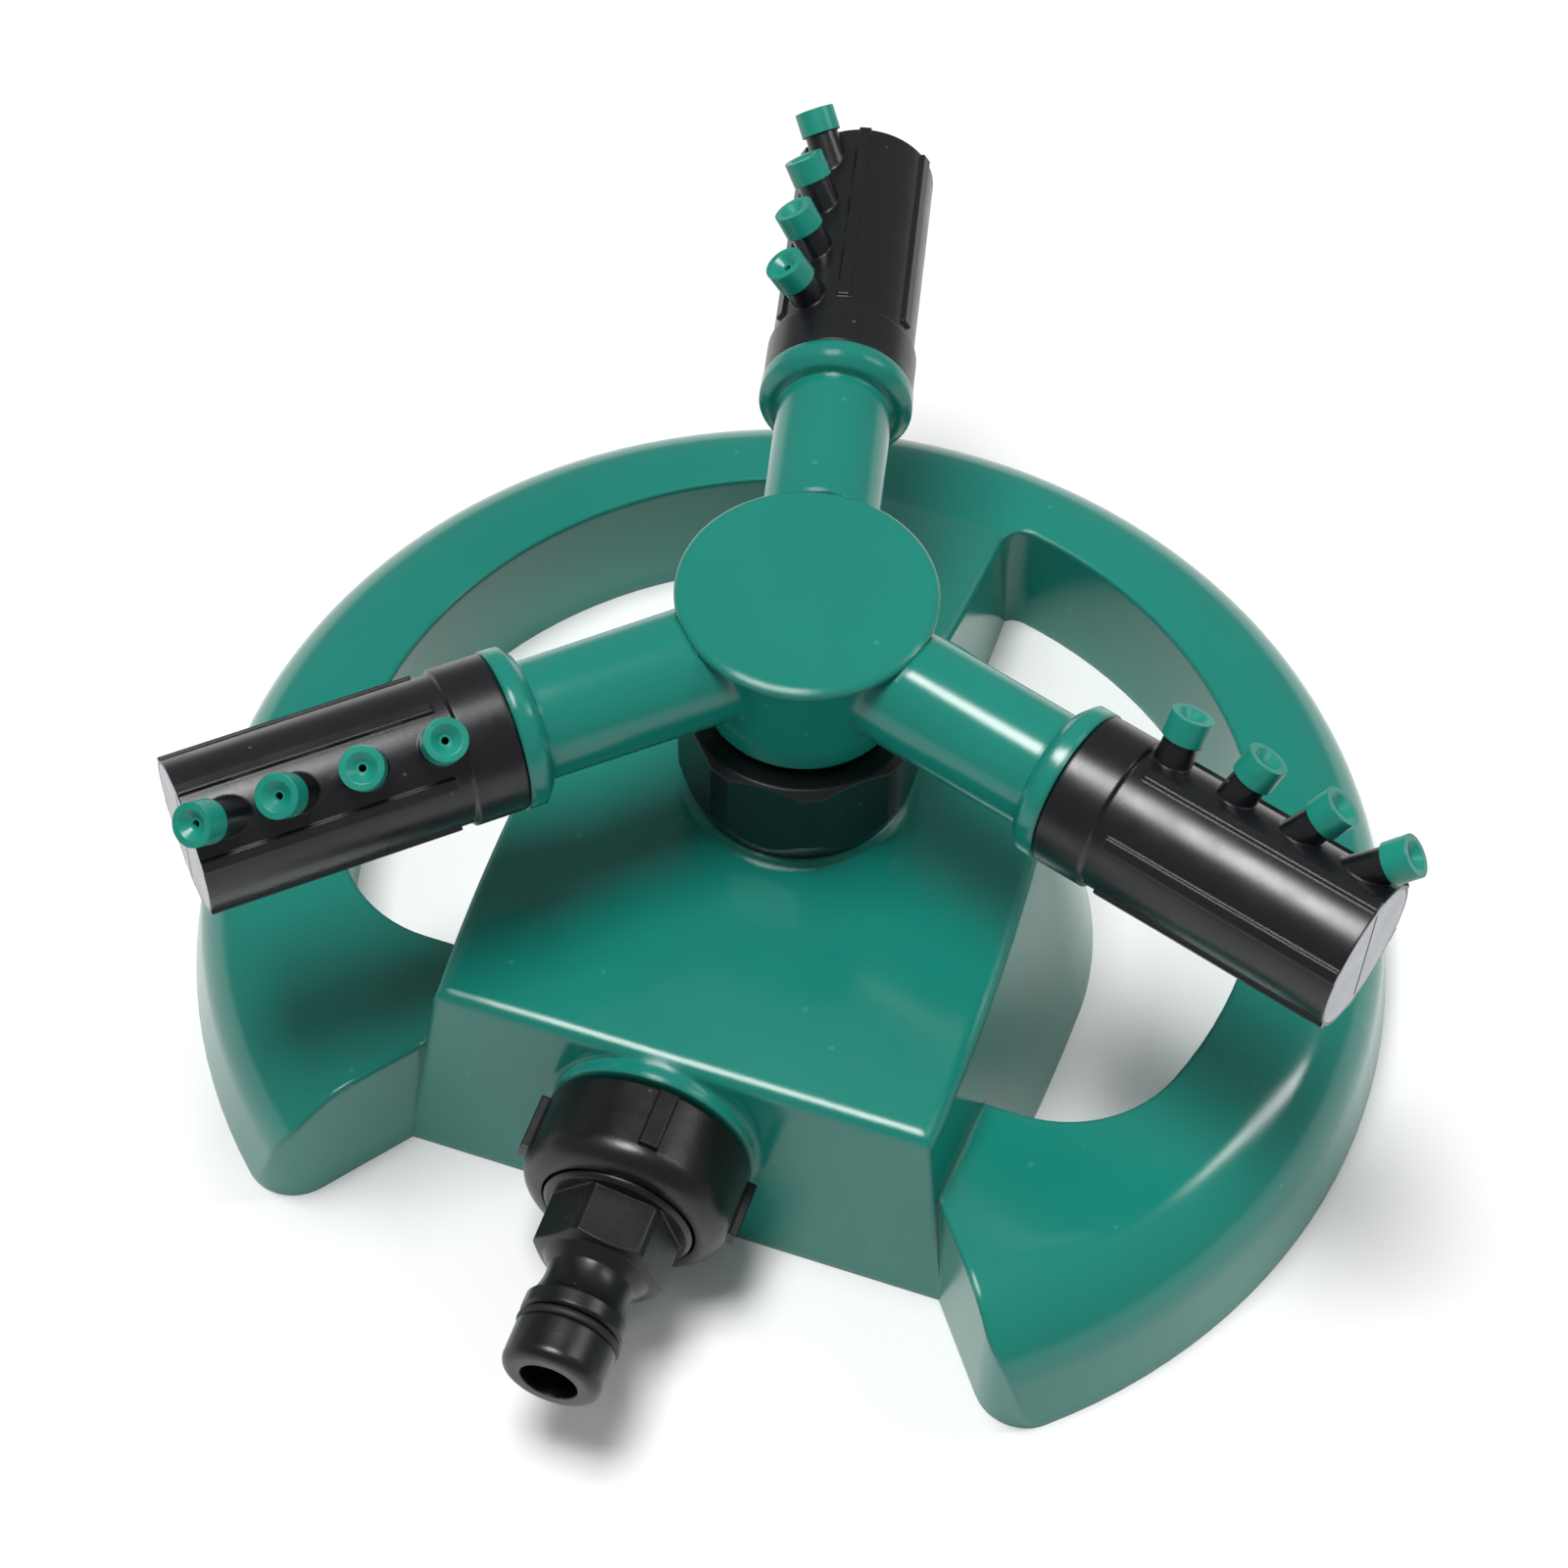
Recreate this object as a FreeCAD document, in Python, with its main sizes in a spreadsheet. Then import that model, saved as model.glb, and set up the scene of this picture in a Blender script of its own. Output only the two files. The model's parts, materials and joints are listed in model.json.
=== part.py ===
import FreeCAD, Part
import math
import os
import re

import Sketcher
from FreeCAD import Placement, Rotation, Vector

# Garden sprinkler with three spray arms turning on a ring base.
# Millimetres. Z is the turning axis of the head and z = 0 is the ground.
# The hose inlet points along -Y. Each spray arm is drawn along +X and then turned to its place.

SIZES = [
    # base shell
    ("base_radius", 100, "ring foot radius"),
    ("base_wall", 2.2, "moulded wall"),
    ("base_draft", 10, "lean of the outer wall, degrees"),
    ("ring_height", 24.5, "top of the ring"),
    ("ring_shoulder", 15, "rounding between outer wall and ring top"),
    ("hole_radius", 75, "outer arc of the two openings"),
    ("hole_shift", 3, "centre of that arc behind the axis"),
    ("hole_front", 38, "front edge of the openings, ahead of the axis"),
    ("hole_corner", 22, "rounding at the front of the openings"),
    ("neck_corner", 4, "rounding beside the rear neck"),
    ("notch_angle", 36.5, "half angle between the two front leg ends, degrees"),
    ("leg_tip", 8, "rounding of the leg ends"),
    # bridge that carries the riser
    ("front_foot_y", 60, "foot of the front wall"),
    ("front_foot_half", 44.7, "half width of the front wall foot"),
    ("front_top_y", 56, "top of the front wall"),
    ("front_top_half", 39, "half width of the roof at the front"),
    ("side_foot_half", 50.8, "half width of the bridge foot beside the axis"),
    ("side_top_half", 39.4, "half width of the roof beside the axis"),
    ("waist_y", 46, "where the bridge has narrowed to the rear neck"),
    ("neck_foot_half", 15.2, "half width of the rear neck foot"),
    ("neck_top_half", 12.6, "half width of the rear neck top"),
    ("neck_end_y", 86, "rear end of the neck, inside the ring"),
    ("roof_front", 39.6, "roof height at the front edge"),
    ("roof_middle", 43, "roof height at the axis"),
    ("roof_edge", 2, "rounding of the roof edges"),
    ("seat_radius", 18, "round pad below the collar"),
    ("seat_height", 43.4, "top of that pad"),
    ("seat_under", 39.6, "flat below the roof for the riser gasket"),
    ("boss_gap", 0.2, "room round the spigot flange inside the inlet shroud"),
    ("boss_back", 50.5, "where it rises from the roof"),
    ("boss_front", 59.2, "front face of that shroud"),
    ("boss_wall", 2.8, "its front plate"),
    # water way below
    ("inlet_side", -3.5, "inlet axis beside the turning axis"),
    ("inlet_height", 22.3, "height of the inlet axis"),
    ("thread_radius", 13.22, "three quarter inch pipe thread, crest"),
    ("thread_gap", 0.08, "thread clearance, radial"),
    ("pass_gap", 0.4, "clearance where a tube passes a wall"),
    ("water_bore", 8.6, "bore of the inlet pipe"),
    ("riser_bore", 9.4, "bore of the riser"),
    ("riser_flange", 17.8, "flange below the roof"),
    ("flange_thick", 2.4, "its thickness"),
    ("gasket_thick", 1.2, "flat gaskets"),
    ("elbow_radius", 13.6, "outside of the elbow"),
    ("mouth_radius", 13, "outside of its mouth"),
    ("elbow_reach", 27, "mouth of the elbow ahead of the axis"),
    ("socket_radius", 11.2, "bore of the elbow mouth"),
    ("socket_depth", 16, "depth of the elbow mouth"),
    ("spigot_step", 1, "its flange behind the front plate, beyond the thread"),
    ("static_gap", 0.05, "slip clearance of parts that stay together"),
    ("seal_thick", 1.6, "cord of the O-rings"),
    # hose connector
    ("nut_wall", 3.3, "wall of the swivel nut round its thread"),
    ("nut_rear", 59.9, "rear face of the nut"),
    ("nut_front", 74.2, "front face of the nut"),
    ("nut_lip", 2.4, "front lip of the nut"),
    ("nut_shoulder", 4, "rounding of its front shoulder"),
    ("nut_catch", 0.9, "how far the lip stands into the threaded bore"),
    ("grip_rise", 1.3, "grip rib above the nut"),
    ("grip_width", 3.4, "grip rib width"),
    ("grip_length", 9.5, "grip rib length"),
    ("nut_turn", 12, "turn of the grip ribs, degrees"),
    ("tail_collar_gap", 0.3, "room round the nipple flange in the nut"),
    ("tail_collar_thick", 2.2, "its thickness"),
    ("tail_shoulder_gap", 0.4, "room round the nipple shoulder in the lip"),
    ("tail_neck", 10.4, "six-sided neck beyond the shoulder, across its corners, half"),
    ("tail_waist", 6.9, "latch waist"),
    ("tail_bead", 8.15, "latch bead"),
    ("tail_nose", 7.9, "nose that enters a hose coupling"),
    ("tail_groove", 6.5, "seat of the nipple O-ring"),
    ("tail_bore", 4.6, "bore of the nipple"),
    ("tail_end", 103.5, "tip of the nipple"),
    # collar nut and turning joint
    ("collar_radius", 19.3, "across the collar corners, half"),
    ("collar_foot", 17.4, "collar foot radius"),
    ("collar_height", 19, "collar height"),
    ("collar_lip", 3.6, "lip over the spindle flange"),
    ("spindle_radius", 7.4, "spindle outside"),
    ("spindle_bore", 4.6, "spindle bore"),
    ("spindle_flange", 12.4, "spindle flange"),
    ("spindle_flange_thick", 2.2, "its thickness"),
    ("washer_thick", 0.8, "thrust washers"),
    ("play", 0.12, "axial play at each thrust face"),
    ("turn_gap", 0.06, "radial running clearance"),
    ("skirt_depth", 12, "spindle skirt inside the riser"),
    # turning head
    ("hub_gap", 0.9, "gap between collar and hub"),
    ("hub_foot", 15.5, "hub radius at the foot"),
    ("hub_shoulder", 18, "hub radius under the cap"),
    ("hub_chamber", 12.8, "water chamber"),
    ("hub_floor", 8, "floor of the chamber above the foot"),
    ("cap_radius", 19.8, "hub cap"),
    ("cap_thick", 1.6, "edge of the hub cap"),
    ("cap_dome", 0.9, "rise of its middle"),
    ("cap_plug", 3.2, "plug of the cap in the chamber"),
    ("head_top", 87.9, "top edge of the hub cap"),
    ("arm_height", 78.4, "axis of the spray arms"),
    ("arm_radius", 9.1, "arm tube"),
    ("arm_angle", -17.4, "turn of the first arm from +X, degrees"),
    ("arm_flange", 12.2, "flange at the arm end"),
    ("arm_flange_thick", 3.3, "its thickness"),
    ("arm_end", 48.8, "outer face of the flange"),
    ("arm_spigot", 8.3, "spigot in the nozzle tube"),
    ("spigot_length", 12, "its length"),
    ("spigot_wall", 2.7, "its wall round the arm bore"),
    ("snap_rise", 0.45, "snap bead above the spigot"),
    # nozzle tubes
    ("tube_gap", 0.3, "gap between flange and tube"),
    ("tube_end", 97.4, "outer end of the tubes"),
    ("tube_radius", 11.4, "nozzle tube"),
    ("band_radius", 12, "band at its inner end"),
    ("band_length", 7.6, "length of that band"),
    ("chamber_step", 1, "water chamber of the tube beyond the spigot"),
    ("rail_rise", 0.5, "rail above the tube"),
    ("rail_width", 2.4, "rail width"),
    ("rail_start", 2.5, "rail start beyond the band"),
    ("end_disc_radius", 10.9, "end disc"),
    ("end_disc_thick", 2.2, "its thickness"),
    ("disc_slot", 0.6, "slot across the end disc"),
    ("nozzle_first", 11.2, "first nozzle root beyond the tube's inner end"),
    ("nozzle_pitch", 10.7, "spacing of the nozzle roots"),
    ("nozzle_lean", 14, "extra lean of each next nozzle, degrees"),
    ("nozzle_rise", 58, "nozzle row above the horizontal, degrees"),
    ("stub_radius", 3.1, "nozzle stub root"),
    ("stub_tip", 2.6, "nozzle stub tip"),
    ("stub_length", 5.6, "stub above the tube"),
    ("tip_radius", 3.25, "nozzle tip"),
    ("tip_length", 4, "nozzle tip length"),
    ("tip_grip", 2, "overlap on the stub"),
    ("jet_radius", 0.55, "jet hole"),
]

# sizes that follow from others, so that what is threaded, plugged or snapped together stays together
FOLLOWING = [
    ("thread_bore", "thread_radius + thread_gap", "threaded bores"),
    ("spigot_flange", "thread_radius + spigot_step", "flange of the inlet spigot"),
    ("boss_radius", "spigot_flange + boss_gap + base_wall", "round shroud around the inlet"),
    ("nut_radius", "thread_bore + nut_wall", "outside of the swivel nut"),
    ("nut_hole", "thread_bore - nut_catch", "hole in its lip"),
    ("tail_collar", "thread_bore - tail_collar_gap", "nipple flange held by the nut"),
    ("tail_shoulder", "nut_hole - tail_shoulder_gap", "nipple shoulder in the lip"),
    ("arm_bore", "arm_spigot - spigot_wall", "arm bore"),
    ("snap_bead", "arm_spigot + snap_rise", "snap bead at the spigot end"),
    ("tube_bore", "arm_spigot + chamber_step", "water chamber of the tube"),
]

# faces of the turning joint and of the hose joint, from the sizes above
LIP_BOTTOM = "(seat_height + collar_height - collar_lip)"
WASHER_TOP = f"({LIP_BOTTOM} - 0.02)"
FLANGE_TOP = f"({WASHER_TOP} - washer_thick - play)"
FLANGE_BOTTOM = f"({FLANGE_TOP} - spindle_flange_thick)"
RISER_TOP = f"({FLANGE_BOTTOM} - play - washer_thick)"
HUB_BOTTOM = "(seat_height + collar_height + hub_gap)"
NIPPLE_REAR = "(nut_front - nut_lip - tail_collar_thick - 0.1)"
SPIGOT_END = f"({NIPPLE_REAR} - gasket_thick)"

ARMS = 3
NOZZLES = 4
RAILS = 6
GRIPS = 4
COLLAR_SIDES = 8
NECK_SIDES = 6
NAMES = {name for name, value, note in SIZES + FOLLOWING}

doc = FreeCAD.newDocument("sprinkler")
sheet = doc.addObject("Spreadsheet::Sheet", "sizes")


def fill_sheet():
    for row, (name, value, note) in enumerate(SIZES + FOLLOWING, start=1):
        sheet.set(f"A{row}", name)
        sheet.set(f"B{row}", f"={value}")
        sheet.setAlias(f"B{row}", name)
        sheet.set(f"C{row}", note)
        doc.recompute()


def bound(text):
    """Write each size name in a formula the way the sheet is addressed."""
    return re.sub(r"[a-z_]+", lambda m: f"sizes.{m[0]}" if m[0] in NAMES else m[0], str(text))


def value(text):
    return float(getattr(sheet.evalExpression(bound(text)), "Value", sheet.evalExpression(bound(text))))


def bind(item, prop, text):
    item.setExpression(prop, bound(text))


def new_body(label):
    body = doc.addObject("PartDesign::Body", label)
    body.Label = label
    return body


def origin_feature(body, role):
    return next(f for f in body.Origin.OriginFeatures if f.Role == role)


def new_sketch(body, name, role, offset="0"):
    sketch = body.newObject("Sketcher::SketchObject", name)
    sketch.AttachmentSupport = [(origin_feature(body, role), "")]
    sketch.MapMode = "FlatFace"
    bind(sketch, ".AttachmentOffset.Base.z", offset)
    return sketch


def pin_point(sketch, geometry, end, x, y):
    """Hold one end of a line or arc at a place given by two formulas."""
    for kind, text in (("DistanceX", x), ("DistanceY", y)):
        index = sketch.addConstraint(Sketcher.Constraint(kind, geometry, end, value(text)))
        sketch.setExpression(f"Constraints[{index}]", bound(text))


def outline(sketch, corners):
    """Close an outline through corners (x, y), or (x, y, mx, my) for an arc that arrives by way of (mx, my)."""
    ends = [Vector(value(c[0]), value(c[1]), 0) for c in corners]
    for i, corner in enumerate(corners):
        start, finish = ends[i - 1], ends[i]
        before = corners[i - 1]
        if len(corner) == 2:
            line = sketch.addGeometry(Part.LineSegment(start, finish))
            pin_point(sketch, line, 1, before[0], before[1])
            pin_point(sketch, line, 2, corner[0], corner[1])
            continue
        middle = Vector(value(corner[2]), value(corner[3]), 0)
        whole = Part.Circle(start, middle, finish)
        forward = (middle - start).cross(finish - middle).z > 0
        first, last = (start, finish) if forward else (finish, start)
        angles = [math.atan2(p.y - whole.Center.y, p.x - whole.Center.x) for p in (first, last)]
        if angles[1] < angles[0]:
            angles[1] += 2 * math.pi
        upright = Part.Circle(whole.Center, Vector(0, 0, 1), whole.Radius)
        arc = sketch.addGeometry(Part.ArcOfCircle(upright, *angles))
        pin_point(sketch, arc, 1 if forward else 2, before[0], before[1])
        pin_point(sketch, arc, 2 if forward else 1, corner[0], corner[1])
        via = sketch.addGeometry(Part.Point(middle), True)
        pin_point(sketch, via, 1, corner[2], corner[3])
        sketch.addConstraint(Sketcher.Constraint("PointOnObject", via, 1, arc))


def circle(sketch, radius, x="0", y="0"):
    ring = sketch.addGeometry(Part.Circle(Vector(value(x), value(y), 0), Vector(0, 0, 1), value(radius)))
    pin_point(sketch, ring, 3, x, y)
    index = sketch.addConstraint(Sketcher.Constraint("Radius", ring, value(radius)))
    sketch.setExpression(f"Constraints[{index}]", bound(radius))


def revolve(body, name, role, axis, corners, kind="PartDesign::Revolution", offset="0"):
    sketch = new_sketch(body, name + "_profile", role, offset)
    outline(sketch, corners)
    turn = body.newObject(kind, name)
    turn.Profile = sketch
    turn.ReferenceAxis = (sketch, [axis])
    turn.Angle = 360
    doc.recompute()
    return turn


def on_inlet(body):
    """Put a piece drawn about Y on the inlet axis."""
    bind(body, ".Placement.Base.x", "inlet_side")
    bind(body, ".Placement.Base.z", "inlet_height")
    doc.recompute()
    return body


def turned(label, axis, corners):
    """A turned piece: corners are (radius, along) about Z or Y, or (along, radius) about X."""
    role, line = {"Z": ("XZ_Plane", "V_Axis"), "Y": ("XY_Plane", "V_Axis"), "X": ("XY_Plane", "H_Axis")}[axis]
    body = new_body(label)
    revolve(body, label + "_turned", role, line, corners)
    return body


def o_ring(label, axis, radius, along):
    """A round-section seal of middle radius about the axis."""
    role, line = {"Z": ("XZ_Plane", "V_Axis"), "Y": ("XY_Plane", "V_Axis"), "X": ("XY_Plane", "H_Axis")}[axis]
    body = new_body(label)
    sketch = new_sketch(body, label + "_section", role)
    x, y = (along, radius) if axis == "X" else (radius, along)
    circle(sketch, "seal_thick / 2", x, y)
    ring = body.newObject("PartDesign::Revolution", label + "_ring")
    ring.Profile = sketch
    ring.ReferenceAxis = (sketch, [line])
    ring.Angle = 360
    doc.recompute()
    return body


def pad(body, name, sketch, length, kind="PartDesign::Pad", backward=False):
    made = body.newObject(kind, name)
    made.Profile = sketch
    made.Type = "Length"
    bind(made, "Length", length)
    made.Reversed = backward
    doc.recompute()
    return made


def around(body, name, originals, count, role="Z_Axis"):
    pattern = body.newObject("PartDesign::PolarPattern", name)
    pattern.Originals = originals
    pattern.Axis = (origin_feature(body, role), [""])
    pattern.Angle = 360
    pattern.Occurrences = count
    body.Tip = pattern
    doc.recompute()
    return pattern


def loft(body, name, low, high, kind="PartDesign::AdditiveLoft"):
    made = body.newObject(kind, name)
    made.Profile = low
    made.Sections = [high]
    made.Ruled = True
    doc.recompute()
    return made


def round_edges(body, name, radius, wanted):
    """Round the edges of the body's tip that the test picks."""
    tip = body.Tip
    edges = [f"Edge{i}" for i, edge in enumerate(tip.Shape.Edges, start=1) if wanted(edge)]
    made = body.newObject("PartDesign::Fillet", name)
    made.Base = (tip, edges)
    bind(made, "Radius", radius)
    doc.recompute()
    return made


def joined(label, pieces):
    made = doc.addObject("Part::MultiFuse", label)
    made.Shapes = pieces
    made.Refine = True
    doc.recompute()
    return made


def cut(label, base, tools):
    made = doc.addObject("Part::Cut", label)
    made.Base = base
    made.Tool = tools[0] if len(tools) == 1 else joined(label + "_tools", tools)
    made.Refine = False
    made.Label = label
    doc.recompute()
    return made


def rod(name, radius, height, place=None):
    made = doc.addObject("Part::Cylinder", name)
    bind(made, "Radius", radius)
    bind(made, "Height", height)
    if place is not None:
        made.Placement = place
    return made


# ---- base shell -------------------------------------------------------------------------------

def ring_body(label, inset):
    """Ring with its front notch and two openings; inset shrinks it to the hollow inside the wall."""
    body = new_body(label + "_disc_body")
    lean = "tan(base_draft * 1 deg)"
    foot = f"{inset} * -0.5"
    revolve(body, label + "_disc", "XZ_Plane", "V_Axis", [
        ("0", foot),
        (f"base_radius - {inset}", foot),
        (f"base_radius - {inset} - ring_height * {lean}", f"ring_height - {inset}"),
        ("0", f"ring_height - {inset}"),
    ])
    top = value(f"ring_height - {inset}")
    round_edges(body, label + "_shoulder", f"ring_shoulder - {inset}",
                lambda edge: abs(edge.BoundBox.ZMin - top) < 1e-4 and abs(edge.BoundBox.ZMax - top) < 1e-4)

    notch = new_sketch(body, label + "_notch_outline", "XY_Plane", "-base_wall")
    outline(notch, notch_corners(inset))
    pad(body, label + "_notch", notch, "ring_height * 2", "PartDesign::Pocket", backward=True)

    return cut(label, body, [openings(label + "_openings", inset)])


def notch_corners(inset):
    """Space between the two front legs, wider by the inset, with a rounding at each leg tip."""
    across, along = "cos(notch_angle)", "sin(notch_angle)"
    hub = "(base_radius - leg_tip)"
    reach = f"sqrt({hub}^2 - leg_tip^2)"
    cx = f"({reach} * {along} + leg_tip * {across})"
    cy = f"(leg_tip * {along} - {reach} * {across})"
    tip = f"(leg_tip - {inset})"
    spread = f"sqrt(2 - 2 * leg_tip / {hub})"
    touch = f"({cx} - {tip} * {across})", f"({cy} - {tip} * {along})"
    rim = f"({cx} * (1 + {tip} / {hub}))", f"({cy} * (1 + {tip} / {hub}))"
    middle = (f"({cx} + {tip} * ({cx} / {hub} - {across}) / {spread})",
              f"({cy} + {tip} * ({cy} / {hub} - {along}) / {spread})")
    back = f"-(front_foot_y - 2 * base_wall - 2 * {inset})"
    half = f"({touch[0]} - ({back} - {touch[1]}) * tan(notch_angle))"
    outside = f"({cx} * 2)", f"({cy} * 2)"
    return [
        (f"-{half}", back),
        (half, back),
        touch,
        (*rim, *middle),
        outside,
        (f"-{outside[0]}", outside[1]),
        (f"-{rim[0]}", rim[1]),
        (f"-{touch[0]}", touch[1], f"-{middle[0]}", middle[1]),
    ]


def openings(label, inset):
    """Tool for the two openings beside the bridge. Its inner ends run inside the bridge, which closes them."""
    body = new_body(label)
    reach, front = f"(hole_radius + {inset})", f"(hole_front + {inset})"
    beside = f"(neck_top_half + 1 - {inset})"
    corner = f"sqrt({reach}^2 - ({front} + hole_shift)^2)"
    rear = f"(hole_shift + sqrt({reach}^2 - {beside}^2))"
    plan = new_sketch(body, label + "_plan", "XY_Plane", "-base_wall")
    outline(plan, [
        (beside, f"-{front}"),
        (corner, f"-{front}"),
        (beside, rear, f"{reach} * cos(20)", f"hole_shift + {reach} * sin(20)"),
    ])
    pad(body, label + "_prism", plan, "ring_height * 2")
    places = {"hole_corner": (value(corner), value(f"-{front}")), "neck_corner": (value(beside), value(rear))}
    for radius, (x, y) in places.items():
        round_edges(body, f"{label}_{radius}", f"{radius} + {inset}",
                    lambda edge: edge.BoundBox.ZLength > 1 and abs(edge.CenterOfMass.x - x) < 0.1
                    and abs(edge.CenterOfMass.y - y) < 0.1)
    other = body.newObject("PartDesign::Mirrored", label + "_other_side")
    other.Originals = [f for f in body.Group if f.isDerivedFrom("PartDesign::Pad") or f.TypeId == "PartDesign::Fillet"]
    other.MirrorPlane = (origin_feature(body, "YZ_Plane"), [""])
    body.Tip = other
    doc.recompute()
    return body


def bridge_corners(inset, front_half, front_y, side_half, neck_half):
    """Plan of the bridge at its foot or at roof level: front wall, bowed sides, round back and rear neck."""
    half, side, neck = f"({front_half} - {inset})", f"({side_half} - {inset})", f"({neck_half} - {inset})"
    front, end = f"-({front_y} - {inset})", f"neck_end_y - {inset}"
    join = f"sqrt({side}^2 - {neck}^2)"
    bow = f"(({half} + {side}) / 2 + 1)", f"-{front_y} / 2"
    right = [
        (half, front),
        (side, "0", *bow),
        (neck, join, f"{side} * cos(40)", f"{side} * sin(40)"),
        (neck, end),
    ]
    left = [
        (f"-{neck}", end),
        (f"-{neck}", join),
        (f"-{side}", "0", f"-{side} * cos(40)", f"{side} * sin(40)"),
        (f"-{half}", front, f"-{bow[0]}", bow[1]),
    ]
    return right + left


def bridge_body(label, inset):
    """Bridge across the ring: leaning walls below a roof that falls to the front and to the rear."""
    body = new_body(label)
    low = new_sketch(body, label + "_foot", "XY_Plane", f"{inset} * -0.5")
    outline(low, bridge_corners(inset, "front_foot_half", "front_foot_y", "side_foot_half", "neck_foot_half"))
    high = new_sketch(body, label + "_head", "XY_Plane", "roof_middle + 1")
    outline(high, bridge_corners(inset, "front_top_half", "front_top_y", "side_top_half", "neck_top_half"))
    loft(body, label + "_walls", low, high)

    fall = "(roof_middle - roof_front) / front_top_y"
    drop = "(roof_middle - ring_height) / (hole_radius - seat_radius)"
    above = "roof_middle * 2"
    roof = new_sketch(body, label + "_roof_line", "YZ_Plane")
    outline(roof, [
        ("-base_radius", above),
        ("-base_radius", f"roof_middle - base_radius * {fall} - {inset}"),
        ("0", f"roof_middle - {inset}"),
        ("seat_radius", f"roof_middle - {inset}"),
        ("base_radius", f"roof_middle - (base_radius - seat_radius) * {drop} - {inset}"),
        ("base_radius", above),
    ])
    trim = pad(body, label + "_roof", roof, "base_radius * 2", "PartDesign::Pocket")
    trim.Midplane = True
    doc.recompute()
    return body


def roof_edge(edge):
    """Outer edges of the roof: not the crest across the middle, nor the end buried in the ring."""
    box, middle = edge.BoundBox, edge.valueAt((edge.FirstParameter + edge.LastParameter) / 2)
    high = box.ZMin > value("ring_height / 2")
    crest = box.YLength < 1e-3 and -1 < middle.y < value("seat_radius + 1")
    buried = middle.y > value("neck_end_y - 1")
    return high and not crest and not buried


def base_shell():
    outer_bridge = bridge_body("outer_bridge", "0")
    round_edges(outer_bridge, "outer_bridge_rounding", "roof_edge", roof_edge)
    boss_turn = Rotation(Vector(1, 0, 0), 90)
    boss_back = Placement(Vector(value("inlet_side"), -value("boss_back"), value("inlet_height")), boss_turn)
    boss = rod("inlet_boss", "boss_radius", "boss_front - boss_back", boss_back)
    outside = joined("base_outside", [ring_body("outer_ring", "0"), outer_bridge, boss])

    boss_hollow = rod("inlet_boss_hollow", "boss_radius - base_wall", "boss_front - boss_back - boss_wall", boss_back)
    inlet_hole = rod("inlet_hole", "thread_radius + pass_gap", "base_radius",
                     Placement(Vector(value("inlet_side"), 0, value("inlet_height")), boss_turn))
    inside = [ring_body("inner_ring", "base_wall"), bridge_body("inner_bridge", "base_wall"),
              boss_hollow, inlet_hole]
    seat = rod("collar_seat", "seat_radius", "seat_height - seat_under",
               Placement(Vector(0, 0, value("seat_under")), Rotation()))
    riser_hole = rod("riser_hole", "thread_radius + pass_gap", "roof_middle * 2")
    shell = cut("base_hollow", outside, inside)
    return cut("base_shell", joined("base_seated", [shell, seat]), [riser_hole])


# ---- water way --------------------------------------------------------------------------------

def water_elbow():
    """Elbow below the roof: threaded riser with a flange, and a socket towards the inlet."""
    body = new_body("water_elbow")
    under = "(seat_under - gasket_thick)"
    low = "inlet_height - elbow_radius"
    revolve(body, "riser", "XZ_Plane", "V_Axis", [
        ("0", low),
        ("elbow_radius", low),
        ("elbow_radius", f"{under} - flange_thick - 1"),
        ("riser_flange", f"{under} - flange_thick"),
        ("riser_flange", under),
        ("thread_radius", under),
        ("thread_radius", f"{RISER_TOP} - 0.8"),
        ("thread_radius - 0.8", RISER_TOP),
        ("0", RISER_TOP),
    ])
    mouth = new_sketch(body, "mouth", "XZ_Plane")
    circle(mouth, "mouth_radius", "inlet_side", "inlet_height")
    pad(body, "mouth_pad", mouth, "elbow_reach")
    revolve(body, "riser_bore_cut", "XZ_Plane", "V_Axis", [
        ("0", "inlet_height - water_bore - 1"),
        ("riser_bore", "inlet_height - water_bore - 1"),
        ("riser_bore", f"{RISER_TOP} + 1"),
        ("0", f"{RISER_TOP} + 1"),
    ], "PartDesign::Groove")
    bore = new_sketch(body, "mouth_bore", "XZ_Plane")
    circle(bore, "water_bore", "inlet_side", "inlet_height")
    pad(body, "mouth_bore_cut", bore, "elbow_reach", "PartDesign::Pocket", backward=True)
    socket = new_sketch(body, "socket", "XZ_Plane", "elbow_reach - socket_depth")
    circle(socket, "socket_radius", "inlet_side", "inlet_height")
    pad(body, "socket_cut", socket, "socket_depth + 1", "PartDesign::Pocket", backward=True)
    return body


def riser_gasket():
    return turned("riser_gasket", "Z", [
        ("thread_radius + pass_gap", "seat_under - gasket_thick"),
        ("riser_flange - 0.5", "seat_under - gasket_thick"),
        ("riser_flange - 0.5", "seat_under"),
        ("thread_radius + pass_gap", "seat_under"),
    ])


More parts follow.
